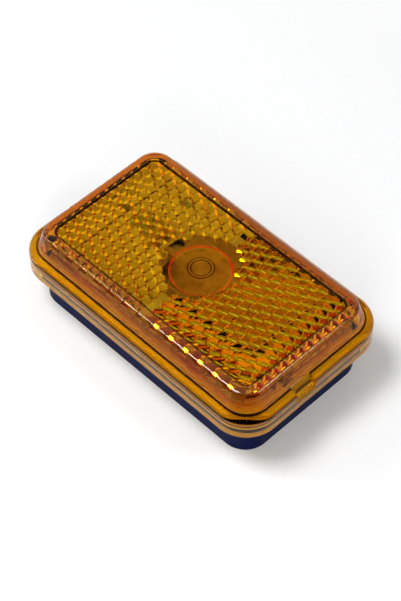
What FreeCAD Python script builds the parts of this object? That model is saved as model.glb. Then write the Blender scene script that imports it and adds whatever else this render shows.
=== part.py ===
import FreeCAD, Part
import math
import os

# Amber clearance lamp with a built-in reflex reflector.
# X runs along the lamp, Y across it and Z away from the vehicle.
# The origin is the middle of the back face. All sizes are in millimetres.

# Lens outline and section
lens_length = 95.0
lens_width = 57.5
lens_corner_radius = 10.6
overall_height = 26.1
skirt_bottom = 13.0
skirt_top = 20.0
skirt_wall = 3.3
skirt_edge_round = 1.6
shoulder_width = 2.45
face_draft_deg = 21.0
face_wall = 2.0
rim_round = 1.55

# Front panel of the lens
panel_inset = 7.9
panel_corner_radius = 2.5
panel_sink = 0.5
panel_thickness = 2.0
sprue_ring_radius = 3.4
sprue_ring_width = 0.5
sprue_ring_height = 0.2

# Cube-corner prisms on the back of the panel
prism_pitch = 3.365
prism_root_step = 0.25
prism_skin = 0.6
prism_overlap = 0.4

# Clear six-sided window in the middle of the prisms, with a bevelled boss behind it
window_x = -0.97
window_y = 1.68
window_radius = 12.63
boss_x = 0.4
boss_y = 0.5
boss_radius = 9.4
boss_depth = 0.9
boss_bevel = 0.8

# Snap hooks and pry notch of the lens
hook_length = 10.0
hook_reach = 0.8
hook_room = 0.9
hook_clearance = 0.15
notch_width = 7.4
notch_y = -5.3
notch_depth = 2.8
notch_land = 0.4

# Base tray
base_inset = 4.3
base_corner_radius = 7.6
base_wall = 2.0
floor_thickness = 2.5
flange_thickness = 1.2
flange_clearance = 0.15

# Seal between base and lens
seal_width = 0.85
seal_height = 0.8
seal_squeezed = 0.12
seal_margin = 0.2
seal_clearance = 0.03

# Two screw holes that fix the base to the vehicle
screw_spacing = 72.0
screw_hole_radius = 2.3
screw_boss_radius = 4.6
screw_boss_height = 3.0

# Festoon bulb
bulb_axis_height = 12.5
glass_radius = 3.75
glass_wall = 0.6
cap_mouth = 12.7
cap_radius = 4.25
cap_cone_start = 15.6
cap_tip = 18.0
cap_tip_radius = 1.3
cap_floor = 15.1
glass_clearance = 0.04
lead_radius = 0.25
filament_half = 4.2
filament_radius = 0.32
filament_bore = 0.2

# Contact strips, rivets and terminals
strip_thickness = 0.5
strip_width = 8.0
strip_hole_radius = 2.0
strip_above_axis = 4.2
strip_lead_in = 2.2
strip_lead_in_deg = 25.0
foot_length = 13.0
pad_height = 3.0
pad_margin = 1.0
rivet_from_strip = 4.0
rivet_radius = 1.25
rivet_head_radius = 2.1
rivet_head_height = 0.9
rivet_tail_height = 0.7
rivet_pocket = 1.6
terminal_from_strip = 9.3
bush_radius = 2.75
bush_length = 3.5
terminal_screw_radius = 1.5
terminal_head_radius = 2.8
terminal_head_height = 1.9
terminal_slot_width = 0.8
terminal_slot_depth = 1.0
washer_size = 6.4
washer_thickness = 0.9
hole_clearance = 0.05

# Cable inlet
inlet_x = -24.0
inlet_from_wall = 8.0
cable_radius = 2.5
grommet_groove_radius = 4.5
grommet_flange_radius = 6.3
grommet_flange = 1.2
grommet_clearance = 0.05
inlet_counterbore = 1.25

# Worked-out levels and insets, from the back face and from the lens outline
draft = math.radians(face_draft_deg)
panel_level = overall_height - panel_sink
plate_under = panel_level - panel_thickness
flange_under = skirt_bottom + hook_room
flange_top = flange_under + flange_thickness
seat_level = flange_top + seal_squeezed
cavity_inset = shoulder_width + face_wall / math.cos(draft)
inner_wall_inset = base_inset + base_wall
inlet_y = lens_width / 2 - inner_wall_inset - inlet_from_wall
prism_side = prism_pitch / math.sqrt(3)
strip_inner_x = cap_cone_start + (cap_tip - cap_cone_start) * (cap_radius - strip_hole_radius) / (
    cap_radius - cap_tip_radius
)
pad_top = floor_thickness + pad_height
foot_top = pad_top + strip_thickness
rivet_x = strip_inner_x + rivet_from_strip
terminal_x = strip_inner_x + terminal_from_strip
bush_bottom = pad_top - bush_length
seal_bottom = seat_level - seal_height
seal_inset = skirt_wall + flange_clearance + seal_margin

UP = FreeCAD.Vector(0, 0, 1)
ALONG = FreeCAD.Vector(1, 0, 0)
ACROSS = FreeCAD.Vector(0, 1, 0)
ORIGIN = FreeCAD.Vector(0, 0, 0)
MIRROR_PLANE_NORMAL = ALONG
SIDES = {"left": -1, "right": 1}


def outline(inset, level, corner_radius=None):
    """Rounded-rectangle wire, inset from the lens outline, at a height."""
    radius = lens_corner_radius - inset if corner_radius is None else corner_radius
    half_x = lens_length / 2 - inset
    half_y = lens_width / 2 - inset
    slant = radius * math.sqrt(0.5)
    edges = []
    for sign_x, sign_y in ((1, 1), (-1, 1), (-1, -1), (1, -1)):
        centre = FreeCAD.Vector(sign_x * (half_x - radius), sign_y * (half_y - radius), level)
        on_x = centre + FreeCAD.Vector(sign_x * radius, 0, 0)
        on_y = centre + FreeCAD.Vector(0, sign_y * radius, 0)
        middle = centre + FreeCAD.Vector(sign_x * slant, sign_y * slant, 0)
        first, last = (on_x, on_y) if sign_x * sign_y > 0 else (on_y, on_x)
        if edges:
            edges.append(Part.LineSegment(edges[-1].lastVertex().Point, first).toShape())
        edges.append(Part.Arc(first, middle, last).toShape())
    edges.append(Part.LineSegment(edges[-1].lastVertex().Point, edges[0].firstVertex().Point).toShape())
    return Part.Wire(edges)


def slab(inset, low, high, corner_radius=None):
    """Upright block with the rounded outline, from one height to another."""
    return Part.Face(outline(inset, low, corner_radius)).extrude(UP * (high - low))


def prism(points, sweep):
    """Block swept from a closed flat outline of points."""
    return Part.Face(Part.makePolygon(points + points[:1])).extrude(sweep)


def drafted(inset_low, low, inset_high, high):
    """Block whose sides lean in from one inset to another, with conical corners."""
    corner_x = lens_length / 2 - lens_corner_radius
    corner_y = lens_width / 2 - lens_corner_radius
    radius_low = lens_corner_radius - inset_low
    radius_high = lens_corner_radius - inset_high
    ends = ((-radius_low, low), (radius_low, low), (radius_high, high), (-radius_high, high))
    long_side = [
        FreeCAD.Vector(math.copysign(corner_x, radius) + radius, -corner_y, level) for radius, level in ends
    ]
    short_side = [
        FreeCAD.Vector(-corner_x, math.copysign(corner_y, radius) + radius, level) for radius, level in ends
    ]
    cones = []
    for x in (-corner_x, corner_x):
        for y in (-corner_y, corner_y):
            cones.append(Part.makeCone(radius_low, radius_high, high - low, FreeCAD.Vector(x, y, low)))
    blocks = [prism(short_side, ALONG * 2 * corner_x)] + cones
    return prism(long_side, ACROSS * 2 * corner_y).fuse(blocks).removeSplitter()


def box(low, high):
    """Box between two corners."""
    size = [b - a for a, b in zip(low, high)]
    return Part.makeBox(size[0], size[1], size[2], FreeCAD.Vector(*low))


def post(x, y, radius, low, high):
    """Upright round bar."""
    return Part.makeCylinder(radius, high - low, FreeCAD.Vector(x, y, low), UP)


def turned(points, start, axis):
    """Solid turned from a closed outline of (along, radius) points on an axis."""
    side = UP if axis == ALONG else ALONG
    corners = [start + axis * along + side * radius for along, radius in points]
    face = Part.Face(Part.makePolygon(corners + corners[:1]))
    return face.revolve(start, axis, 360)


def mirrored(shape, sign):
    """The shape itself, or its mirror image on the other end of the lamp."""
    return shape if sign > 0 else shape.mirror(ORIGIN, MIRROR_PLANE_NORMAL)


def face_inset(level):
    """Inset of the raised face's outer wall at a height."""
    return shoulder_width + (level - skirt_top) * math.tan(draft)


# Cube-corner prisms


def hexagon_corner(step, radius):
    """One corner of a hexagon that has two corners on the X axis."""
    angle = math.radians(60 * step)
    return radius * math.cos(angle), radius * math.sin(angle)


def in_window(x, y):
    """True for a cell whose middle lies in the window."""
    off_x = abs(x - window_x)
    off_y = abs(y - window_y)
    reach = max(off_y, (off_x * math.sqrt(3) + off_y) / 2)
    return reach < window_radius * math.sqrt(3) / 2


def cell_corners(column, row, turn):
    """Six corners of a hexagonal cell, each with its depth in half-cube steps."""
    centre_x = column * prism_side * 1.5
    centre_y = (row + 0.5 * (column % 2)) * prism_pitch
    corners = []
    for step in range(6):
        depth = 1 if (step + turn) % 2 else 0
        x, y = hexagon_corner(step, prism_side)
        corners.append((centre_x + x, centre_y + y, depth))
    return (centre_x, centre_y), corners


def within(x, y, inset):
    """True for a point inside the rounded lens outline, inset."""
    past_x = max(abs(x) - lens_length / 2 + lens_corner_radius, 0)
    past_y = max(abs(y) - lens_width / 2 + lens_corner_radius, 0)
    return math.hypot(past_x, past_y) < lens_corner_radius - inset


def cell_wanted(x, y, corners):
    """True for a cell outside the window whose outer corners may run into the wall, but not through it."""
    skin_inset = face_inset(plate_under)
    if not within(x, y, skin_inset + face_wall / math.cos(draft)):
        return False
    inside = all(within(cx, cy, skin_inset + prism_skin) for cx, cy, depth in corners)
    return inside and not in_window(x, y)


def prism_field(sign):
    """One half's cube-corner field as a closed block with a flat top.

    The cells of the two halves point opposite ways, so one half returns light that the other lets through.
    """
    cube_step = prism_pitch / math.sqrt(6)
    root = plate_under - prism_root_step
    top = plate_under + prism_overlap
    turn = 0 if sign < 0 else 1
    columns = math.ceil(lens_length / prism_pitch)
    rows = math.ceil(lens_width / prism_pitch)
    faces = []
    borders = {}

    def at(x, y, level):
        return FreeCAD.Vector(round(x, 6), round(y, 6), round(level, 6))

    def add(points):
        faces.append(Part.Face(Part.makePolygon(points + points[:1])))

    for column in range(-columns, columns + 1):
        for row in range(-rows, rows + 1):
            (x, y), corners = cell_corners(column, row, turn)
            if x * sign <= 0 or not cell_wanted(x, y, corners):
                continue
            low = [at(cx, cy, root - depth * cube_step) for cx, cy, depth in corners]
            high = [at(cx, cy, top) for cx, cy, depth in corners]
            apex = at(x, y, root - 2 * cube_step)
            deep = [index for index in range(6) if corners[index][2]]
            for index in deep:
                add([apex, low[index], low[(index + 1) % 6], low[(index + 2) % 6]])
            add(high)
            for index in range(6):
                other = (index + 1) % 6
                key = frozenset(((high[index].x, high[index].y), (high[other].x, high[other].y)))
                if key in borders:
                    del borders[key]
                else:
                    borders[key] = [low[index], low[other], high[other], high[index]]
    for wall in borders.values():
        add(wall)
    shell = Part.makeCompound(faces)
    shell.sewShape()
    return [Part.makeSolid(piece) for piece in shell.Shells]


def window_boss():
    """Round boss with a bevelled edge behind the window."""
    top = plate_under + prism_overlap
    bottom = plate_under - boss_depth
    disc = post(boss_x, boss_y, boss_radius, bottom, top)
    edge = [e for e in disc.Edges if e.BoundBox.ZMax < bottom + boss_depth / 2]
    return disc.makeChamfer(boss_bevel, edge)


# Lens


def snap_hook(sign):
    """Inner catch on a long side of the skirt, with a sloped lead-in below."""
    wall_y = lens_width / 2 - skirt_wall
    tip_y = wall_y - hook_reach
    catch = flange_under - hook_clearance
    profile = [
        FreeCAD.Vector(-hook_length / 2, wall_y + skirt_wall / 2, skirt_bottom),
        FreeCAD.Vector(-hook_length / 2, wall_y, skirt_bottom),
        FreeCAD.Vector(-hook_length / 2, tip_y, catch - hook_room / 3),
        FreeCAD.Vector(-hook_length / 2, tip_y, catch),
        FreeCAD.Vector(-hook_length / 2, wall_y + skirt_wall / 2, catch),
    ]
    hook = prism(profile, ALONG * hook_length)
    return hook if sign > 0 else hook.mirror(ORIGIN, ACROSS)


def sprue_ring():
    """Low plain ring on the panel, where the mould was fed."""
    low = panel_level - panel_sink
    high = panel_level + sprue_ring_height
    outer = post(boss_x, boss_y, sprue_ring_radius + sprue_ring_width / 2, low, high)
    return outer.cut(post(boss_x, boss_y, sprue_ring_radius - sprue_ring_width / 2, low, high))


def pry_notch():
    """Block that leaves a ramp through the shoulder on one short end, to lift the lens with a blade."""
    side = notch_y - notch_width / 2
    end_x = lens_length / 2
    ramp_low = seat_level + notch_land
    profile = [
        FreeCAD.Vector(end_x - notch_depth, side, skirt_top),
        FreeCAD.Vector(end_x - notch_depth, side, overall_height),
        FreeCAD.Vector(end_x + notch_depth, side, overall_height),
        FreeCAD.Vector(end_x + notch_depth, side, ramp_low),
        FreeCAD.Vector(end_x, side, ramp_low),
    ]
    return prism(profile, ACROSS * notch_width)


def lens():
    """The whole amber moulding."""
    skirt = slab(0, skirt_bottom, skirt_top)
    top_edges = [edge for edge in skirt.Edges if edge.BoundBox.ZMin > skirt_top - 1e-6]
    skirt = skirt.makeFillet(skirt_edge_round, top_edges)
    low = skirt_top - skirt_edge_round
    face = drafted(face_inset(low), low, face_inset(overall_height), overall_height)
    top_edges = [edge for edge in face.Edges if edge.BoundBox.ZMin > overall_height - 1e-6]
    face = face.makeFillet(rim_round, top_edges)
    body = skirt.fuse(face)
    body = body.cut(slab(panel_inset, panel_level, overall_height + panel_sink, panel_corner_radius))
    body = body.fuse(sprue_ring()).cut(pry_notch())
    recess = slab(skirt_wall, skirt_bottom - hook_room, seat_level)
    cavity = slab(cavity_inset, flange_under, skirt_top)
    crown_inset = face_inset(plate_under) + face_wall / math.cos(draft)
    crown = drafted(cavity_inset, skirt_top, crown_inset, plate_under)
    body = body.cut(recess.fuse([cavity, crown]))
    optics = prism_field(-1) + prism_field(1) + [window_boss()]
    return body.fuse(optics + [snap_hook(1), snap_hook(-1)]).removeSplitter()


# Base and seal


def base():
    """Dark moulded tray with flange, bosses, pads and inlet."""
    body = slab(base_inset, 0, flange_top, base_corner_radius)
    body = body.fuse(slab(skirt_wall + flange_clearance, flange_under, flange_top))
    inside_radius = base_corner_radius - base_wall
    body = body.cut(slab(inner_wall_inset, floor_thickness, seat_level, inside_radius))
    groove = slab(seal_inset, seal_bottom, seat_level)
    groove = groove.cut(slab(seal_inset + seal_width, seal_bottom, seat_level))
    body = body.cut(groove)
    boss_top = floor_thickness + screw_boss_height
    bush_hole = bush_radius + hole_clearance
    pad_side = strip_width / 2 + pad_margin
    pad_near = strip_inner_x - pad_margin
    pad_far = strip_inner_x + foot_length
    pad = box((pad_near, -pad_side, 0), (pad_far, pad_side, pad_top))
    for sign in SIDES.values():
        screw_x = sign * screw_spacing / 2
        body = body.fuse(post(screw_x, 0, screw_boss_radius, 0, boss_top))
        body = body.fuse(mirrored(pad, sign))
    for sign in SIDES.values():
        screw_x = sign * screw_spacing / 2
        body = body.cut(post(screw_x, 0, screw_hole_radius, 0, boss_top))
        body = body.cut(post(sign * rivet_x, 0, rivet_radius + hole_clearance, 0, pad_top))
        body = body.cut(post(sign * rivet_x, 0, rivet_head_radius + hole_clearance, 0, rivet_pocket))
        body = body.cut(post(sign * terminal_x, 0, bush_hole, bush_bottom, pad_top))
    inlet_hole = grommet_groove_radius + grommet_clearance
    inlet_pocket = grommet_flange_radius + grommet_clearance
    body = body.cut(post(inlet_x, inlet_y, inlet_hole, 0, floor_thickness))
    body = body.cut(post(inlet_x, inlet_y, inlet_pocket, 0, inlet_counterbore))
    return body.removeSplitter()


def lens_seal():
    """Rubber ring that stands out of the flange groove up to the lens seat."""
    outer = slab(seal_inset + seal_clearance, seal_bottom, seat_level)
    return outer.cut(slab(seal_inset + seal_width - seal_clearance, seal_bottom, seat_level))


def cable_grommet():
    """Rubber grommet that grips the floor round the cable inlet."""
    low = inlet_counterbore - grommet_flange
    high = floor_thickness + grommet_flange
    points = [
        (low, cable_radius),
        (low, grommet_flange_radius),
        (inlet_counterbore, grommet_flange_radius),
        (inlet_counterbore, grommet_groove_radius),
        (floor_thickness, grommet_groove_radius),
        (floor_thickness, grommet_flange_radius),
        (high, grommet_flange_radius),
        (high, cable_radius),
    ]
    return turned(points, FreeCAD.Vector(inlet_x, inlet_y, 0), UP)


# Festoon bulb

BULB_CENTRE = FreeCAD.Vector(0, 0, bulb_axis_height)


def bulb_glass():
    """Glass tube between the two caps."""
    start = BULB_CENTRE - ALONG * cap_floor
    tube = Part.makeCylinder(glass_radius, 2 * cap_floor, start, ALONG)
    return tube.cut(Part.makeCylinder(glass_radius - glass_wall, 2 * cap_floor, start, ALONG))


def bulb_cap(sign):
    """Pointed metal cap, closed by solder at its tip."""
    bore = glass_radius + glass_clearance
    points = [
        (cap_mouth, bore),
        (cap_mouth, cap_radius),
        (cap_cone_start, cap_radius),
        (cap_tip, cap_tip_radius),
        (cap_tip, 0),
        (cap_floor, 0),
        (cap_floor, bore),
    ]
    return mirrored(turned(points, BULB_CENTRE, ALONG), sign)


def lead_wire(sign):
    """Straight wire from the filament's end to the cap."""
    start = BULB_CENTRE + ALONG * filament_half
    return mirrored(Part.makeCylinder(lead_radius, cap_floor - filament_half, start, ALONG), sign)


def filament():
    """Coiled filament as a slim tube between the lead wires."""
    start = BULB_CENTRE - ALONG * filament_half
    tube = Part.makeCylinder(filament_radius, 2 * filament_half, start, ALONG)
    return tube.cut(Part.makeCylinder(filament_bore, 2 * filament_half, start, ALONG))


# Contacts and terminals


def contact(sign):
    """Folded spring strip: a foot on its pad, an upright with a hole for the cap and a bent lead-in."""
    top = bulb_axis_height + strip_above_axis
    lead = math.radians(strip_lead_in_deg)
    tip_x = strip_inner_x + strip_lead_in * math.sin(lead)
    tip_z = top + strip_lead_in * math.cos(lead)
    outer_x = strip_inner_x + strip_thickness
    profile = [
        (strip_inner_x, pad_top),
        (strip_inner_x, top),
        (tip_x, tip_z),
        (tip_x + strip_thickness * math.cos(lead), tip_z - strip_thickness * math.sin(lead)),
        (outer_x, top - strip_thickness * math.tan(lead / 2)),
        (outer_x, foot_top),
        (strip_inner_x + foot_length - pad_margin, foot_top),
        (strip_inner_x + foot_length - pad_margin, pad_top),
    ]
    strip = prism([FreeCAD.Vector(x, -strip_width / 2, z) for x, z in profile], ACROSS * strip_width)
    hole_start = BULB_CENTRE + ALONG * strip_inner_x
    strip = strip.cut(Part.makeCylinder(strip_hole_radius, 2 * strip_thickness, hole_start, ALONG))
    strip = strip.cut(post(rivet_x, 0, rivet_radius + hole_clearance, pad_top, foot_top))
    strip = strip.cut(post(terminal_x, 0, terminal_screw_radius + hole_clearance, pad_top, foot_top))
    return mirrored(strip, sign)


def rivet(sign):
    """Rivet with a formed tail in its pocket under the floor."""
    shank = post(rivet_x, 0, rivet_radius, rivet_pocket, foot_top)
    head = post(rivet_x, 0, rivet_head_radius, foot_top, foot_top + rivet_head_height)
    tail = post(rivet_x, 0, rivet_head_radius, rivet_pocket - rivet_tail_height, rivet_pocket)
    return mirrored(shank.fuse([head, tail]).removeSplitter(), sign)


def bush(sign):
    """Threaded bush in its pad, under the strip's foot."""
    body = post(terminal_x, 0, bush_radius, bush_bottom, pad_top)
    bore = post(terminal_x, 0, terminal_screw_radius + hole_clearance, bush_bottom, pad_top)
    return mirrored(body.cut(bore), sign)


def terminal_screw(sign):
    """Slotted pan-head screw through washer, strip and bush."""
    seat = foot_top + washer_thickness
    top = seat + terminal_head_height
    shank = post(terminal_x, 0, terminal_screw_radius, bush_bottom, seat)
    head = post(terminal_x, 0, terminal_head_radius, seat, top)
    slot = box(
        (terminal_x - terminal_head_radius, -terminal_slot_width / 2, top - terminal_slot_depth),
        (terminal_x + terminal_head_radius, terminal_slot_width / 2, top),
    )
    return mirrored(shank.fuse(head).removeSplitter().cut(slot), sign)


def clamp_washer(sign):
    """Square washer that presses the wire on the strip."""
    half = washer_size / 2
    top = foot_top + washer_thickness
    plate = box((terminal_x - half, -half, foot_top), (terminal_x + half, half, top))
    hole = post(terminal_x, 0, terminal_screw_radius + hole_clearance, foot_top, top)
    return mirrored(plate.cut(hole), sign)


def both_ends(maker):
    """Group of two like solids, one at each end of the lamp."""
    return Part.makeCompound([maker(sign) for sign in SIDES.values()])


def nodes():
    """Every piece by the name of its node."""
    pieces = {
        "lens": lens(),
        "base": base(),
        "lens_seal": lens_seal(),
        "cable_grommet": cable_grommet(),
        "bulb_glass": bulb_glass(),
        "filament": filament(),
        "contact_rivets": both_ends(rivet),
        "terminal_bushes": both_ends(bush),
        "terminal_screws": both_ends(terminal_screw),
        "clamp_washers": both_ends(clamp_washer),
    }
    for side, sign in SIDES.items():
        pieces["bulb_cap_" + side] = bulb_cap(sign)
        pieces["lead_wire_" + side] = lead_wire(sign)
        pieces["contact_" + side] = contact(sign)
    return pieces


os.makedirs("parts", exist_ok=True)
for name, shape in nodes().items():
    shape.exportStep(os.path.join("parts", name + ".step"))
    print(name, "solids", len(shape.Solids), "valid", shape.isValid(), "volume", round(shape.Volume, 2))
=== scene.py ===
import logging
import math
from collections.abc import Mapping
from dataclasses import dataclass, field
from enum import Enum

import bmesh
import bpy
from mathutils import Matrix, Vector


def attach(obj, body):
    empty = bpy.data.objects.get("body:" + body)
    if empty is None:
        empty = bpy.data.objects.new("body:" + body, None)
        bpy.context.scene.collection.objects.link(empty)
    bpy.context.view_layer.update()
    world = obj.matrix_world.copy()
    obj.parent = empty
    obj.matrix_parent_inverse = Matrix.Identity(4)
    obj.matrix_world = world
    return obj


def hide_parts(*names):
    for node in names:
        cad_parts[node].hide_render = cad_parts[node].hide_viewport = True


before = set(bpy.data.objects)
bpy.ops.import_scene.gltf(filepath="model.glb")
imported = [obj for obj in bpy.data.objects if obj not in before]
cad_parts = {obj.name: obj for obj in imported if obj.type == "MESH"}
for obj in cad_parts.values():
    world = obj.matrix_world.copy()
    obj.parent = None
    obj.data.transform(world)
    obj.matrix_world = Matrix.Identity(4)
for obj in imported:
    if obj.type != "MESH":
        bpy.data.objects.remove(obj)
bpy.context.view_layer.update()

# Amber clearance lamp with a built-in reflex reflector: finishes, bulb coil, floor, light and camera.
# Lengths are in millimetres unless a name says otherwise, and the frame is in metres.

MM = 0.001
BODY = "root"
log = logging.getLogger("clearance_lamp")

# Short names for types
Tree = bpy.types.NodeTree
Socket = bpy.types.NodeSocket
Limits = tuple[float, float]
Colour = tuple[float, float, float, float]

# Colour sockets of the Mix node, which come after those for numbers and vectors
MIX_FIRST = 6
MIX_SECOND = 7
MIX_RESULT = 2

# A factor that flattens a place to the plan, the lamp's origin, and plain white
IN_PLAN = (1.0, 1.0, 0.0)
ORIGIN = (0.0, 0.0, 0.0)
WHITE = (1.0, 1.0, 1.0, 1.0)

# Tint and roughness of the lens's grained faces, and the dark tint of painted shade in the corners of its
# steps and beside the ring
GRAIN_TINT = "FFDC70"
GRAINED = 0.4
STEP_SHADE_TINT = "1E0E06"


class Side(Enum):
    """Ends of the lamp, as the names of its pieces give them."""

    LEFT = "left"
    RIGHT = "right"


class Datum(Enum):
    """What distances across the lens are measured from."""

    OUTLINE = "outline"
    BOSS = "boss"


class Ray(Enum):
    """Rays that see the surroundings as plain white, as the Light Path node names them."""

    CAMERA = "Is Camera Ray"
    GLOSSY = "Is Glossy Ray"
    TRANSMISSION = "Is Transmission Ray"


def linear(hex_colour: str) -> Colour:
    """Turns an sRGB hex colour into linear values.

    Args:
        hex_colour: Six hex digits, with or without a leading hash.

    Returns:
        Red, green, blue and an alpha of one.
    """
    digits = hex_colour.lstrip("#")
    channels = []
    # The numbers are those of the sRGB curve
    for start in (0, 2, 4):
        value = int(digits[start : start + 2], 16) / 255
        channels.append(value / 12.92 if value <= 0.04045 else ((value + 0.055) / 1.055) ** 2.4)
    return channels[0], channels[1], channels[2], 1.0


def per_mm(size: float) -> float:
    """Texture scale for a pattern that repeats every so many millimetres."""
    return 1 / (size * MM)


def add_node(
    tree: Tree, kind: str, inputs: Mapping[str | int, object], **settings: object
) -> bpy.types.Node:
    """Adds a shader node, sets its properties and sets or links its inputs.

    Args:
        tree: The node tree that takes the node.
        kind: The node's type, without the leading ShaderNode.
        inputs: Input name or number, with an output to link or a value to set.
        settings: Properties of the node itself.

    Returns:
        The new node.
    """
    node = tree.nodes.new("ShaderNode" + kind)
    for name, value in settings.items():
        setattr(node, name, value)
    for name, value in inputs.items():
        if isinstance(value, Socket):
            tree.links.new(value, node.inputs[name])
        else:
            node.inputs[name].default_value = value
    return node


def join(tree: Tree, kind: str, operation: str, *values: object) -> Socket:
    """Joins values two by two, from left to right, with nodes of one kind.

    Args:
        tree: The node tree that takes the nodes.
        kind: The nodes' type, without the leading ShaderNode.
        operation: What each node does with its two inputs.
        values: Two or more outputs or plain values.

    Returns:
        The last node's first output.
    """
    joined = values[0]
    for value in values[1:]:
        joined = add_node(tree, kind, {0: joined, 1: value}, operation=operation).outputs[0]
    return joined


def between(tree: Tree, length: Socket, limits: Limits) -> Socket:
    """Marks where a length lies between two limits.

    Args:
        tree: The node tree that takes the nodes.
        length: The length's output, in metres.
        limits: The two limits, in millimetres.

    Returns:
        One between the limits, else zero.
    """
    above = join(tree, "Math", "GREATER_THAN", length, limits[0] * MM)
    below = join(tree, "Math", "LESS_THAN", length, limits[1] * MM)
    return join(tree, "Math", "MULTIPLY", above, below)


@dataclass(frozen=True)
class RoundedOutline:
    """A rounded rectangle in plan, with its middle on the lamp's axis."""

    half: tuple[float, float]
    radius: float

    def inset(self, tree: Tree, place: Socket) -> Socket:
        """Measures how far in from the outline a point lies.

        Args:
            tree: The node tree that takes the nodes.
            place: Object coordinates.

        Returns:
            The distance in metres, below zero outside the outline.
        """
        core = tuple((half - self.radius) * MM for half in self.half) + (0.0,)
        flat = join(tree, "VectorMath", "MULTIPLY", place, IN_PLAN)
        folded = add_node(tree, "VectorMath", {0: flat}, operation="ABSOLUTE")
        past = join(tree, "VectorMath", "SUBTRACT", folded.outputs[0], core)
        outer = join(tree, "VectorMath", "MAXIMUM", past, ORIGIN)
        reach = add_node(tree, "VectorMath", {0: outer}, operation="LENGTH")
        axes = add_node(tree, "SeparateXYZ", {"Vector": past})
        inner = join(tree, "Math", "MAXIMUM", axes.outputs["X"], axes.outputs["Y"])
        inner = join(tree, "Math", "MINIMUM", inner, 0.0)
        return join(tree, "Math", "SUBTRACT", self.radius * MM, reach.outputs["Value"], inner)


@dataclass(frozen=True)
class Finish:
    """A finish that becomes one material."""

    name: str

    def shade(self, tree: Tree, place: Socket) -> Mapping[str, Socket]:
        """Builds the finish's nodes.

        Args:
            tree: The material's node tree.
            place: Object coordinates.

        Returns:
            The outputs for Surface and, if there is one, Volume.
        """
        raise NotImplementedError

    def material(self) -> bpy.types.Material:
        """Makes the material.

        Returns:
            A new material with this finish.
        """
        made = bpy.data.materials.new(self.name)
        made.use_nodes = True
        made.node_tree.nodes.clear()
        coordinates = add_node(made.node_tree, "TexCoord", {})
        outputs = self.shade(made.node_tree, coordinates.outputs["Object"])
        add_node(made.node_tree, "OutputMaterial", outputs)
        return made


@dataclass(frozen=True)
class Zone:
    """Part of the lens surface, between two distances from a datum in plan and between two heights."""

    name: str
    datum: Datum
    distances: Limits
    heights: Limits


@dataclass(frozen=True)
class Coat(Zone):
    """A zone of the lens with what it has over the clear body: a tint, a solid share and a roughness."""

    tint: str
    solid: float = 0.0
    roughness: float = 0.0


@dataclass(frozen=True)
class LensMap:
    """Outputs that say where a point of the lens lies."""

    tree: Tree
    place: Socket
    height: Socket
    distances: Mapping[Datum, Socket]

    def mask(self, zone: Zone) -> Socket:
        """Marks a zone.

        Args:
            zone: The zone to mark.

        Returns:
            One in the zone, else zero.
        """
        in_plan = between(self.tree, self.distances[zone.datum], zone.distances)
        in_height = between(self.tree, self.height, zone.heights)
        sides = {0: in_plan, 1: in_height}
        return add_node(self.tree, "Math", sides, operation="MULTIPLY", label=zone.name).outputs[0]


@dataclass(frozen=True)
class Layer:
    """A mask on the lens with the tint, the solid share and the roughness that it brings."""

    mask: Socket
    tint: Socket | Colour
    solid: float
    roughness: float


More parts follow.
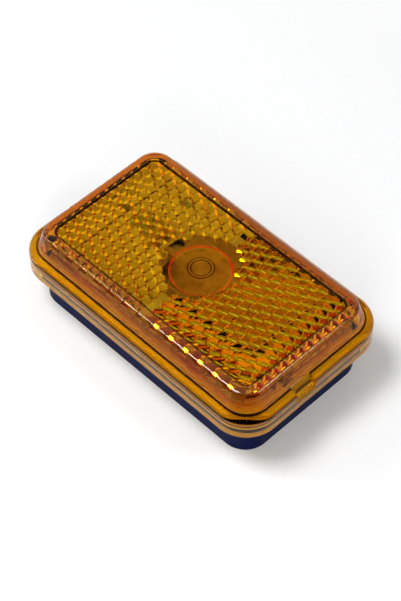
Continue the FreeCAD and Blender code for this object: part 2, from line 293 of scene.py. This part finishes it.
@dataclass(frozen=True)
class AmberPolycarbonate(Finish):
    """Injection-moulded amber polycarbonate: clear and glossy, and deeper in colour where it is thicker.

    The mould leaves prism edges and valleys slightly round; near-white marks on them are painted highlights
    for their glints, seen as pale dashes and dots. The bottom edge, the seat and the inner wall are grained,
    the boss is frosted, painted shade darkens the corners of the steps and beside the ring, and the outer
    wall's streaks deepen from orange to red as painted shade.
    """

    ior: float = 1.586
    absorption: str = "FEF40A"
    density: float = 600.0
    roughness: float = 0.02
    ripple_mm: float = 6.0
    ripple_detail: float = 2.0
    ripple_height: float = 0.012

    # Outline of the lens in plan and the middle of its boss
    outline: RoundedOutline = RoundedOutline((47.5, 28.75), 10.6)
    boss_centre: tuple[float, float] = (0.4, 0.5)

    # Only the rim is polished, so it throws back the softboxes and the walls hardly do
    polished: Zone = Zone("polished rim", Datum.OUTLINE, (4.9, 7.85), (24.2, 26.2))
    gloss_tints: tuple[str, str] = ("403428", "FFF8F4")

    # Flow streaks on the outer wall, in a tint that turns from orange at its foot to red above: painted shade
    # that deepens up the wall
    wall: Zone = Zone("outer wall", Datum.OUTLINE, (2.3, 5.6), (20.2, 25.9))
    wall_shade_tints: tuple[str, str] = ("FFA840", "A83012")
    wall_turn: Limits = (21.0, 23.5)
    streak_mm: tuple[float, float] = (14.0, 0.7)
    streak_detail: float = 3.0
    full_streak: float = 0.6

    # Frosted and mottled boss in the window
    boss: Zone = Zone("boss", Datum.BOSS, (0.0, 8.5), (0.0, 22.8))
    boss_tints: tuple[str, str] = ("D08C6C", "8C5640")
    boss_roughness: float = 0.35
    mottle_mm: float = 3.0
    mottle_detail: float = 3.0
    mottle_range: Limits = (0.35, 0.65)

    # Painted highlights: near-white solid marks on the prism edges and valleys that stand in for their
    # glints, starting clear of the wall and the boss
    prism_pitch: float = 3.365
    prism_levels: Limits = (20.4, 23.3)
    prism_inset: float = 7.6
    boss_clear: float = 9.7
    edge_half_width: float = 0.13
    valley_radius: float = 0.48
    glint_tint: str = "FFFFF0"

    # Zones with one tint, some of them partly solid or grained
    coats: tuple[Coat, ...] = (
        Coat("rim", Datum.OUTLINE, (5.6, 7.85), (25.0, 26.2), "FFC878"),
        Coat("window", Datum.BOSS, (0.0, 13.2), (23.5, 23.7), "9A6448"),
        Coat("bevel", Datum.BOSS, (8.5, 9.5), (22.8, 23.5), "FF6A30", 0.5),
        Coat("inner wall", Datum.OUTLINE, (4.3, 5.2), (15.3, 20.6), GRAIN_TINT, 0.25, GRAINED),
        Coat("bottom edge", Datum.OUTLINE, (0.0, 3.5), (12.0, 13.05), GRAIN_TINT, 0.7, GRAINED),
        Coat("seat", Datum.OUTLINE, (3.1, 5.4), (14.6, 15.6), GRAIN_TINT, 0.75, GRAINED),
        # Painted shade: dark lines in the corners of the panel's step and the wall's foot, and on both sides
        # of the ring
        Coat("panel step shade", Datum.OUTLINE, (7.85, 8.5), (25.55, 26.05), STEP_SHADE_TINT, 0.75),
        Coat("foot step shade", Datum.OUTLINE, (2.2, 2.75), (19.9, 20.45), STEP_SHADE_TINT, 0.75),
        Coat("inner ring shade", Datum.BOSS, (2.75, 3.1), (25.5, 25.75), STEP_SHADE_TINT, 0.2),
        Coat("outer ring shade", Datum.BOSS, (3.7, 4.05), (25.5, 25.75), STEP_SHADE_TINT, 0.2),
    )

    def locate(self, tree: Tree, place: Socket) -> LensMap:
        """Measures where a point of the lens lies.

        Args:
            tree: The material's node tree.
            place: Object coordinates.

        Returns:
            The place, the height and the distances from the outline and from the boss.
        """
        axes = add_node(tree, "SeparateXYZ", {"Vector": place})
        flat = join(tree, "VectorMath", "MULTIPLY", place, IN_PLAN)
        centre = tuple(part * MM for part in self.boss_centre) + (0.0,)
        reach = add_node(tree, "VectorMath", {0: flat, 1: centre}, operation="DISTANCE")
        distances = {Datum.OUTLINE: self.outline.inset(tree, place), Datum.BOSS: reach.outputs["Value"]}
        return LensMap(tree, place, axes.outputs["Z"], distances)

    def prism_marks(self, lens_map: LensMap) -> Socket:
        """Marks the valley where prisms meet in the left-hand field, and each prism's long edge in the right.

        Args:
            lens_map: Where a point of the lens lies.

        Returns:
            One on a valley or an edge, else zero.
        """
        tree = lens_map.tree
        axes = add_node(tree, "SeparateXYZ", {"Vector": lens_map.place})
        side = self.prism_pitch / math.sqrt(3)
        column = 1.5 * side
        half = self.prism_pitch / 2
        edges = []
        valleys = []
        # Two grids, one shifted against the other, make the hexagonal lattice
        for shift_x, shift_y in ((0.0, 0.0), (column, half)):
            along = join(tree, "Math", "SUBTRACT", axes.outputs["X"], shift_x * MM)
            across = join(tree, "Math", "SUBTRACT", axes.outputs["Y"], shift_y * MM)
            across = join(tree, "Math", "PINGPONG", across, half * MM)
            from_tip = join(tree, "Math", "FLOORED_MODULO", along, 2 * column * MM)
            on_length = join(tree, "Math", "LESS_THAN", from_tip, side * MM)
            on_width = join(tree, "Math", "LESS_THAN", across, self.edge_half_width * MM)
            edges.append(join(tree, "Math", "MULTIPLY", on_length, on_width))
            along = join(tree, "Math", "SUBTRACT", along, side * MM)
            along = join(tree, "Math", "PINGPONG", along, column * MM)
            offset = add_node(tree, "CombineXYZ", {"X": along, "Y": across})
            distance = add_node(tree, "VectorMath", {0: offset.outputs[0]}, operation="LENGTH")
            in_valley = join(tree, "Math", "LESS_THAN", distance.outputs["Value"], self.valley_radius * MM)
            valleys.append(in_valley)
        right = join(tree, "Math", "GREATER_THAN", axes.outputs["X"], 0.0)
        left = join(tree, "Math", "SUBTRACT", 1.0, right)
        edge = join(tree, "Math", "MULTIPLY", join(tree, "Math", "MAXIMUM", *edges), right)
        valley = join(tree, "Math", "MULTIPLY", join(tree, "Math", "MAXIMUM", *valleys), left)
        marks = join(tree, "Math", "MAXIMUM", edge, valley)
        on_prisms = between(tree, lens_map.height, self.prism_levels)
        reach = lens_map.distances[Datum.BOSS]
        off_boss = join(tree, "Math", "GREATER_THAN", reach, self.boss_clear * MM)
        inset = lens_map.distances[Datum.OUTLINE]
        off_wall = join(tree, "Math", "GREATER_THAN", inset, self.prism_inset * MM)
        return join(tree, "Math", "MULTIPLY", marks, on_prisms, off_boss, off_wall)

    def layers(self, lens_map: LensMap) -> list[Layer]:
        """Lists what lies over the clear body, from the bottom up.

        Args:
            lens_map: Where a point of the lens lies.

        Returns:
            The streaked wall, the boss, the zones with one tint and the prism marks.
        """
        tree = lens_map.tree
        place = lens_map.place
        long_scale, short_scale = (per_mm(size) for size in self.streak_mm)
        stretch = {"Vector": place, "Scale": (long_scale, long_scale, short_scale)}
        stretched = add_node(tree, "Mapping", stretch).outputs[0]
        streak = add_node(tree, "TexNoise", {"Vector": stretched, "Scale": 1.0, "Detail": self.streak_detail})
        wall = join(tree, "Math", "MULTIPLY", lens_map.mask(self.wall), streak.outputs["Fac"])
        wall = add_node(tree, "MapRange", {"Value": wall, "From Min": 0.0, "From Max": self.full_streak})
        speckle = {"Vector": place, "Scale": per_mm(self.mottle_mm), "Detail": self.mottle_detail}
        mottle = add_node(tree, "TexNoise", speckle).outputs["Fac"]
        # Painted shade: the wall's streaks turn from orange at the foot to red higher up
        turn = tuple(level * MM for level in self.wall_turn)
        tones = []
        for value, limits, tints in (
            (lens_map.height, turn, self.wall_shade_tints),
            (mottle, self.mottle_range, self.boss_tints),
        ):
            share = add_node(tree, "MapRange", {"Value": value, "From Min": limits[0], "From Max": limits[1]})
            pair = {MIX_FIRST: linear(tints[0]), MIX_SECOND: linear(tints[1])}
            tone = add_node(tree, "Mix", {"Factor": share.outputs[0], **pair}, data_type="RGBA")
            tones.append(tone.outputs[MIX_RESULT])
        wall_shade_tone, boss_tone = tones
        layers = [
            Layer(wall.outputs[0], wall_shade_tone, 0.0, 0.0),
            Layer(lens_map.mask(self.boss), boss_tone, 0.0, self.boss_roughness),
        ]
        for coat in self.coats:
            layers.append(Layer(lens_map.mask(coat), linear(coat.tint), coat.solid, coat.roughness))
        # Painted highlights: the prism edges and valleys turn solid near-white
        layers.append(Layer(self.prism_marks(lens_map), linear(self.glint_tint), 1.0, 0.0))
        return layers

    def shade(self, tree: Tree, place: Socket) -> Mapping[str, Socket]:
        """Clear body with a slow ripple, and the layers over it.

        Args:
            tree: The material's node tree.
            place: Object coordinates.

        Returns:
            The outputs for Surface and Volume.
        """
        lens_map = self.locate(tree, place)
        colour = WHITE
        solid = 0.0
        roughness = self.roughness
        for layer in self.layers(lens_map):
            tints = {MIX_FIRST: colour, MIX_SECOND: layer.tint}
            mixed = add_node(tree, "Mix", {"Factor": layer.mask, **tints}, data_type="RGBA")
            colour = mixed.outputs[MIX_RESULT]
            if layer.solid:
                share = join(tree, "Math", "MULTIPLY", layer.mask, layer.solid)
                solid = join(tree, "Math", "MAXIMUM", solid, share)
            if layer.roughness:
                rough = join(tree, "Math", "MULTIPLY", layer.mask, layer.roughness)
                roughness = join(tree, "Math", "MAXIMUM", roughness, rough)
        dull, bright = (linear(tint) for tint in self.gloss_tints)
        tints = {MIX_FIRST: dull, MIX_SECOND: bright}
        gloss = add_node(tree, "Mix", {"Factor": lens_map.mask(self.polished), **tints}, data_type="RGBA")
        waves = {"Vector": place, "Scale": per_mm(self.ripple_mm), "Detail": self.ripple_detail}
        ripple = add_node(tree, "TexNoise", waves).outputs["Fac"]
        relief = {"Height": ripple, "Strength": 1.0, "Distance": self.ripple_height * MM}
        bump = add_node(tree, "Bump", relief)
        body = add_node(
            tree,
            "BsdfPrincipled",
            {
                "Base Color": colour,
                "Roughness": roughness,
                "IOR": self.ior,
                "Specular Tint": gloss.outputs[MIX_RESULT],
                "Transmission Weight": join(tree, "Math", "SUBTRACT", 1.0, solid),
                "Normal": bump.outputs["Normal"],
            },
        )
        dye = {"Color": linear(self.absorption), "Density": self.density}
        depth = add_node(tree, "VolumeAbsorption", dye)
        return {"Surface": body.outputs[0], "Volume": depth.outputs[0]}


@dataclass(frozen=True)
class GrainedFinish(Finish):
    """A solid finish: a fine grain in relief and sheen, over slow clouds between two colours."""

    colour: str
    cloud_colour: str
    roughness: float
    roughness_spread: float
    grain_mm: float
    grain_height: float
    cloud_mm: float
    cloud_detail: float
    grain_detail: float = 3.0

    def vary(self, tree: Tree, grain_place: Socket, cloud_place: Socket) -> dict[str, Socket]:
        """Builds the nodes for what varies over the surface.

        Args:
            tree: The material's node tree.
            grain_place: Coordinates for the grain.
            cloud_place: Coordinates for the clouds.

        Returns:
            The shader's inputs for colour, roughness and relief.
        """
        speckle = {"Vector": grain_place, "Scale": per_mm(self.grain_mm), "Detail": self.grain_detail}
        grain = add_node(tree, "TexNoise", speckle).outputs["Fac"]
        drift = {"Vector": cloud_place, "Scale": per_mm(self.cloud_mm), "Detail": self.cloud_detail}
        cloud = add_node(tree, "TexNoise", drift).outputs["Fac"]
        tints = {MIX_FIRST: linear(self.colour), MIX_SECOND: linear(self.cloud_colour)}
        tone = add_node(tree, "Mix", {"Factor": cloud, **tints}, data_type="RGBA")
        smoothest = self.roughness - self.roughness_spread
        roughest = self.roughness + self.roughness_spread
        sheen = add_node(tree, "MapRange", {"Value": grain, "To Min": smoothest, "To Max": roughest})
        relief = {"Height": grain, "Strength": 1.0, "Distance": self.grain_height * MM}
        bump = add_node(tree, "Bump", relief)
        return {
            "Base Color": tone.outputs[MIX_RESULT],
            "Roughness": sheen.outputs[0],
            "Normal": bump.outputs["Normal"],
        }


@dataclass(frozen=True)
class MouldedPlastic(GrainedFinish):
    """Moulded opaque plastic or rubber: satin, with a fine even grain and faint flow marks.

    Real mould grain is finer than this, and is drawn as coarse as it needs to show.
    """

    colour: str = "060F36"
    cloud_colour: str = "0A1642"
    roughness: float = 0.42
    roughness_spread: float = 0.1
    grain_mm: float = 0.5
    grain_height: float = 0.02
    cloud_mm: float = 14.0
    cloud_detail: float = 2.0
    gloss: float = 0.04

    def painted(self, tree: Tree, place: Socket, colour: Socket) -> Socket:
        """Colour with no paint on it."""
        return colour

    def shade(self, tree: Tree, place: Socket) -> Mapping[str, Socket]:
        """Satin body, with paint where there is any.

        Args:
            tree: The material's node tree.
            place: Object coordinates.

        Returns:
            The output for Surface.
        """
        inputs = self.vary(tree, place, place)
        inputs["Base Color"] = self.painted(tree, place, inputs["Base Color"])
        body = add_node(tree, "BsdfPrincipled", {**inputs, "Specular IOR Level": self.gloss})
        return {"Surface": body.outputs[0]}


@dataclass(frozen=True)
class PaintedInside(MouldedPlastic):
    """Moulded plastic or rubber that is sprayed light inside the base, to throw the bulb's light forward."""

    paint: str = "FAF2E4"
    hollow: RoundedOutline = RoundedOutline((41.4, 22.65), 5.8)
    paint_levels: Limits = (2.4, 15.6)
    seat_level: float = 15.1

    def painted(self, tree: Tree, place: Socket, colour: Socket) -> Socket:
        """Paints the hollow's floor and walls and the seat of the lens.

        Args:
            tree: The material's node tree.
            place: Object coordinates.
            colour: The bare plastic's colour.

        Returns:
            The colour with the paint over it.
        """
        height = add_node(tree, "SeparateXYZ", {"Vector": place}).outputs["Z"]
        in_plan = join(tree, "Math", "GREATER_THAN", self.hollow.inset(tree, place), 0.0)
        in_hollow = join(tree, "Math", "MULTIPLY", in_plan, between(tree, height, self.paint_levels))
        on_seat = join(tree, "Math", "GREATER_THAN", height, self.seat_level * MM)
        share = join(tree, "Math", "MAXIMUM", in_hollow, on_seat)
        tints = {MIX_FIRST: colour, MIX_SECOND: linear(self.paint)}
        mixed = add_node(tree, "Mix", {"Factor": share, **tints}, data_type="RGBA")
        return mixed.outputs[MIX_RESULT]


@dataclass(frozen=True)
class WorkedMetal(GrainedFinish):
    """Plated, rolled or drawn metal: bright, with lines along the lamp and cloudy tarnish.

    Real draw lines are finer than these, and are drawn as coarse as they need to show.
    """

    roughness_spread: float = 0.08
    grain_mm: float = 0.25
    grain_height: float = 0.004
    cloud_mm: float = 3.0
    cloud_detail: float = 4.0
    line_stretch: float = 12.0

    def shade(self, tree: Tree, place: Socket) -> Mapping[str, Socket]:
        """Metal body, with its grain drawn out into lines.

        Args:
            tree: The material's node tree.
            place: Object coordinates.

        Returns:
            The output for Surface.
        """
        along = add_node(tree, "Mapping", {"Vector": place, "Scale": (1 / self.line_stretch, 1.0, 1.0)})
        inputs = self.vary(tree, along.outputs[0], place)
        body = add_node(tree, "BsdfPrincipled", {**inputs, "Metallic": 1.0})
        return {"Surface": body.outputs[0]}


@dataclass(frozen=True)
class DrawnGlass(Finish):
    """Drawn soda-lime bulb glass: clear and smooth, with slow waves along the tube."""

    ior: float = 1.52
    roughness: float = 0.01
    wave_mm: float = 4.0
    wave_detail: float = 1.0
    wave_height: float = 0.02

    def shade(self, tree: Tree, place: Socket) -> Mapping[str, Socket]:
        """Clear glass with slow surface waves.

        Args:
            tree: The material's node tree.
            place: Object coordinates.

        Returns:
            The output for Surface.
        """
        waves = {"Vector": place, "Scale": per_mm(self.wave_mm), "Detail": self.wave_detail}
        wave = add_node(tree, "TexNoise", waves).outputs["Fac"]
        relief = {"Height": wave, "Strength": 1.0, "Distance": self.wave_height * MM}
        bump = add_node(tree, "Bump", relief)
        body = add_node(
            tree,
            "BsdfPrincipled",
            {
                "Base Color": WHITE,
                "Roughness": self.roughness,
                "IOR": self.ior,
                "Transmission Weight": 1.0,
                "Normal": bump.outputs["Normal"],
            },
        )
        return {"Surface": body.outputs[0]}


def seen_directly(tree: Tree) -> Socket:
    """Marks the rays that see the surroundings as plain white.

    Args:
        tree: The node tree that takes the nodes.

    Returns:
        One for camera, glossy and transmission rays, else zero.
    """
    path = add_node(tree, "LightPath", {})
    return join(tree, "Math", "MAXIMUM", *(path.outputs[ray.value] for ray in Ray))


@dataclass(frozen=True)
class StudioPaper(Finish):
    """Matt white paper that keeps the lamp's shadow and turns plain white away from it."""

    colour: str = "F2F2F2"
    fibre_colour: str = "EEEEEE"
    fibre_mm: float = 2.0
    fibre_detail: float = 2.0
    white_from: float = 55.0
    white_at: float = 220.0

    def shade(self, tree: Tree, place: Socket) -> Mapping[str, Socket]:
        """Paper near the lamp, white far from it.

        Args:
            tree: The material's node tree.
            place: Object coordinates.

        Returns:
            The output for Surface.
        """
        strands = {"Vector": place, "Scale": per_mm(self.fibre_mm), "Detail": self.fibre_detail}
        fibre = add_node(tree, "TexNoise", strands).outputs["Fac"]
        tints = {MIX_FIRST: linear(self.colour), MIX_SECOND: linear(self.fibre_colour)}
        tone = add_node(tree, "Mix", {"Factor": fibre, **tints}, data_type="RGBA")
        paper = add_node(tree, "BsdfDiffuse", {"Color": tone.outputs[MIX_RESULT]})
        distance = add_node(tree, "VectorMath", {0: place}, operation="LENGTH").outputs["Value"]
        limits = {"From Min": self.white_from * MM, "From Max": self.white_at * MM}
        far = add_node(tree, "MapRange", {"Value": distance, **limits}, interpolation_type="SMOOTHSTEP")
        share = join(tree, "Math", "MULTIPLY", far.outputs[0], seen_directly(tree))
        white = add_node(tree, "Emission", {"Color": WHITE, "Strength": 1.0})
        mix = add_node(tree, "MixShader", {0: share, 1: paper.outputs[0], 2: white.outputs[0]})
        return {"Surface": mix.outputs[0]}


def dress(node: str, material: bpy.types.Material) -> None:
    """Puts one material on a CAD node.

    Args:
        node: The node's name.
        material: The material for all of its faces.
    """
    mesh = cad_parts[node].data
    mesh.materials.clear()
    mesh.materials.append(material)
    log.info("dressed %s in %s", node, material.name)


def place_mesh(form: bmesh.types.BMesh, name: str, material: bpy.types.Material) -> bpy.types.Object:
    """Makes a finished bmesh an object of the scene.

    Args:
        form: The bmesh, which is used up.
        name: The name of the object and its mesh.
        material: The material for all of its faces.

    Returns:
        The new object.
    """
    mesh = bpy.data.meshes.new(name)
    form.to_mesh(mesh)
    form.free()
    mesh.materials.append(material)
    piece = bpy.data.objects.new(name, mesh)
    bpy.context.scene.collection.objects.link(piece)
    return piece


@dataclass
class LensCover:
    """The amber lens."""

    # Clear and deep amber, with the prisms and the light inside showing through
    plastic: Finish = AmberPolycarbonate("amber_polycarbonate_moulded")

    def build(self) -> None:
        """Dresses the lens."""
        dress("lens", self.plastic.material())


@dataclass
class BaseTray:
    """Dark base with its seal and grommet."""

    # Dark navy with a low satin shine, and nearly white inside
    plastic: Finish = PaintedInside("navy_polypropylene_moulded")
    # Dull black, with no clear reflection
    rubber: Finish = MouldedPlastic(
        "black_rubber_moulded", colour="38383A", cloud_colour="424244", roughness=0.6, grain_mm=0.35
    )
    # The same rubber, light where the spray of the base reached it
    sprayed_rubber: Finish = PaintedInside(
        "black_rubber_sprayed_inside", colour="38383A", cloud_colour="424244", roughness=0.6, grain_mm=0.35
    )

    def build(self) -> None:
        """Dresses the base, the seal and the grommet."""
        dress("base", self.plastic.material())
        dress("lens_seal", self.rubber.material())
        dress("cable_grommet", self.sprayed_rubber.material())


@dataclass
class FestoonBulb:
    """Festoon bulb with a coiled filament."""

    # Clear, seen by its edges and its wavy reflections
    glass: Finish = DrawnGlass("bulb_glass_drawn")
    # Warm white plate with a soft shine
    nickel: Finish = WorkedMetal(
        "nickel_plated_brass_drawn", colour="D8D4CC", cloud_colour="B8B2A8", roughness=0.5
    )
    # Dark grey wire with a dull shine
    tungsten: Finish = WorkedMetal(
        "tungsten_wire_drawn", colour="6A6A6E", cloud_colour="4A4A4E", roughness=0.4
    )
    axis_height: float = 12.5
    coil_half: float = 4.2
    coil_radius: float = 0.25
    coil_pitch: float = 0.2
    coil_slot: str = "filament_wire"
    wire_radius: float = 0.06
    wire_sides: int = 6
    steps_per_turn: int = 14

    def wind_coil(self, tungsten: bpy.types.Material) -> None:
        """Winds the filament round the bulb's axis, in place of the CAD filament.

        Args:
            tungsten: The wire's material.
        """
        form = bmesh.new()
        start = Vector((-self.coil_half, 0.0, self.axis_height))
        stand = Matrix.Translation(start + Vector((0.0, 0.0, self.coil_radius)))
        stand = stand @ Matrix.Rotation(math.radians(90), 4, "X")
        bmesh.ops.create_circle(form, segments=self.wire_sides, radius=self.wire_radius, matrix=stand)
        turns = round(2 * self.coil_half / self.coil_pitch)
        bmesh.ops.spin(
            form,
            geom=form.verts[:] + form.edges[:],
            cent=start,
            axis=(1.0, 0.0, 0.0),
            dvec=(self.coil_pitch / self.steps_per_turn, 0.0, 0.0),
            angle=turns * math.tau,
            steps=turns * self.steps_per_turn,
        )
        ends = [edge for edge in form.edges if edge.is_boundary]
        bmesh.ops.holes_fill(form, edges=ends)
        bmesh.ops.recalc_face_normals(form, faces=form.faces)
        bmesh.ops.scale(form, vec=(MM, MM, MM), verts=form.verts)
        coil = place_mesh(form, "filament_coil", tungsten)
        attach(coil, BODY)
        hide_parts("filament")
        log.info("wound %s in %d turns", coil.name, turns)

    def build(self) -> None:
        """Dresses the bulb's glass, caps and leads and adds the coil."""
        dress("bulb_glass", self.glass.material())
        nickel = self.nickel.material()
        tungsten = self.tungsten.material()
        for side in Side:
            dress("bulb_cap_" + side.value, nickel)
            dress("lead_wire_" + side.value, tungsten)
        self.wind_coil(tungsten)


@dataclass
class Terminals:
    """Contact strips and their fasteners."""

    # Soft yellow strip with faint rolling lines
    brass: Finish = WorkedMetal(
        "cartridge_brass_rolled", colour="E0C07C", cloud_colour="C09A58", roughness=0.45
    )
    # Cool grey plate, a little cloudy
    steel: Finish = WorkedMetal("zinc_plated_steel", colour="C0C2C6", cloud_colour="9EA0A4", roughness=0.5)

    def build(self) -> None:
        """Dresses strips, rivets, bushes, screws and washers."""
        brass = self.brass.material()
        steel = self.steel.material()
        for side in Side:
            dress("contact_" + side.value, brass)
        for node in ("contact_rivets", "terminal_bushes"):
            dress(node, brass)
        for node in ("terminal_screws", "clamp_washers"):
            dress(node, steel)


@dataclass
class Softbox:
    """A square studio light that points at the lamp."""

    name: str
    place: tuple[float, float, float]
    side: float
    radiance: float
    through_glass: bool = True

    def build(self) -> None:
        """Adds the light, aimed at the origin."""
        data = bpy.data.lights.new(self.name, "AREA")
        data.shape = "SQUARE"
        data.size = self.side * MM
        data.energy = self.radiance * math.pi * data.size**2
        light = bpy.data.objects.new(self.name, data)
        light.visible_camera = False
        light.visible_transmission = self.through_glass
        spot = Vector(self.place) * MM
        turn = spot.to_track_quat("Z", "Y").to_matrix().to_4x4()
        light.matrix_world = Matrix.Translation(spot) @ turn
        bpy.context.scene.collection.objects.link(light)


@dataclass
class Studio:
    """Pale floor, white surroundings and soft lights."""

    # Matt white, with a light shadow round the lamp
    paper: Finish = StudioPaper("studio_floor_paper")
    floor_side: float = 6000.0
    floor_gap: float = 0.05
    dome_colour: str = "F4F6FA"
    dome_strength: float = 0.34
    # Upward part of a line of sight where white starts to fade and where the greyer ceiling is reached
    white_up_to: float = 0.25
    ceiling_from: float = 0.6
    ceiling: float = 0.26
    bounces: int = 32
    glossy_bounces: int = 24
    lights: list[Softbox] = field(
        default_factory=lambda: [
            Softbox("key_softbox", (-180.0, -190.0, 600.0), 280.0, 12.0),
            Softbox("front_softbox", (352.0, -419.0, 291.0), 180.0, 9.0, through_glass=False),
            Softbox("right_softbox", (372.0, 210.0, 450.0), 180.0, 6.0, through_glass=False),
            Softbox("left_softbox", (-390.0, -220.0, 330.0), 200.0, 4.0, through_glass=False),
        ]
    )

    def build_world(self) -> None:
        """Sets white surroundings with a greyer ceiling, over a soft dome of light."""
        world = bpy.data.worlds.new("studio")
        world.use_nodes = True
        tree = world.node_tree
        tree.nodes.clear()
        dome = add_node(
            tree, "Background", {"Color": linear(self.dome_colour), "Strength": self.dome_strength}
        )
        sight = add_node(tree, "TexCoord", {})
        lift = add_node(tree, "SeparateXYZ", {"Vector": sight.outputs["Generated"]})
        fade = add_node(
            tree,
            "MapRange",
            {
                "Value": lift.outputs["Z"],
                "From Min": self.white_up_to,
                "From Max": self.ceiling_from,
                "To Min": 1.0,
                "To Max": self.ceiling,
            },
            interpolation_type="SMOOTHSTEP",
        )
        white = add_node(tree, "Background", {"Color": WHITE, "Strength": fade.outputs[0]})
        mix = add_node(
            tree, "MixShader", {0: seen_directly(tree), 1: dome.outputs[0], 2: white.outputs[0]}
        )
        add_node(tree, "OutputWorld", {"Surface": mix.outputs[0]})
        bpy.context.scene.world = world

    def build_floor(self) -> None:
        """Lays the pale floor just under the lamp."""
        form = bmesh.new()
        half = self.floor_side * MM / 2
        bmesh.ops.create_grid(form, x_segments=1, y_segments=1, size=half)
        bmesh.ops.translate(form, verts=form.verts, vec=(0.0, 0.0, -self.floor_gap * MM))
        floor = place_mesh(form, "floor", self.paper.material())

    def build(self) -> None:
        """Sets up the whole studio, with bounces enough for light to find its way through the prisms."""
        scene = bpy.context.scene
        scene.view_settings.view_transform = "Standard"
        scene.cycles.max_bounces = self.bounces
        scene.cycles.glossy_bounces = self.glossy_bounces
        scene.cycles.transmission_bounces = self.bounces
        self.build_world()
        self.build_floor()
        for light in self.lights:
            light.build()
        log.info("set up the studio with %d lights", len(self.lights))


@dataclass
class PhotoCamera:
    """Camera at the photograph's place."""

    azimuth: float = 45.3
    elevation: float = 51.33
    distance: float = 565.2
    offset_right: float = 0.5
    offset_up: float = 6.81
    focal_length: float = 115.03
    sensor: float = 36.0
    nearest: float = 10.0

    def build(self) -> None:
        """Adds the camera and makes it the scene's."""
        turn = math.radians(self.azimuth)
        lift = math.radians(self.elevation)
        back = Vector(
            (math.sin(turn) * math.cos(lift), -math.cos(turn) * math.cos(lift), math.sin(lift))
        )
        right = Vector((math.cos(turn), math.sin(turn), 0.0))
        up = back.cross(right)
        spot = (back * self.distance + right * self.offset_right + up * self.offset_up) * MM
        data = bpy.data.cameras.new("photo_camera")
        data.lens = self.focal_length
        data.sensor_width = self.sensor
        data.clip_start = self.nearest * MM
        camera = bpy.data.objects.new("photo_camera", data)
        axes = Matrix((right, up, back)).transposed().to_4x4()
        camera.matrix_world = Matrix.Translation(spot) @ axes
        bpy.context.scene.collection.objects.link(camera)
        bpy.context.scene.camera = camera


def main() -> None:
    """Dresses the lamp and sets up the studio and the camera."""
    logging.basicConfig(level=logging.INFO, format="%(name)s: %(message)s")
    for assembly in (LensCover(), BaseTray(), FestoonBulb(), Terminals(), Studio(), PhotoCamera()):
        assembly.build()


if __name__ == "__main__":
    main()
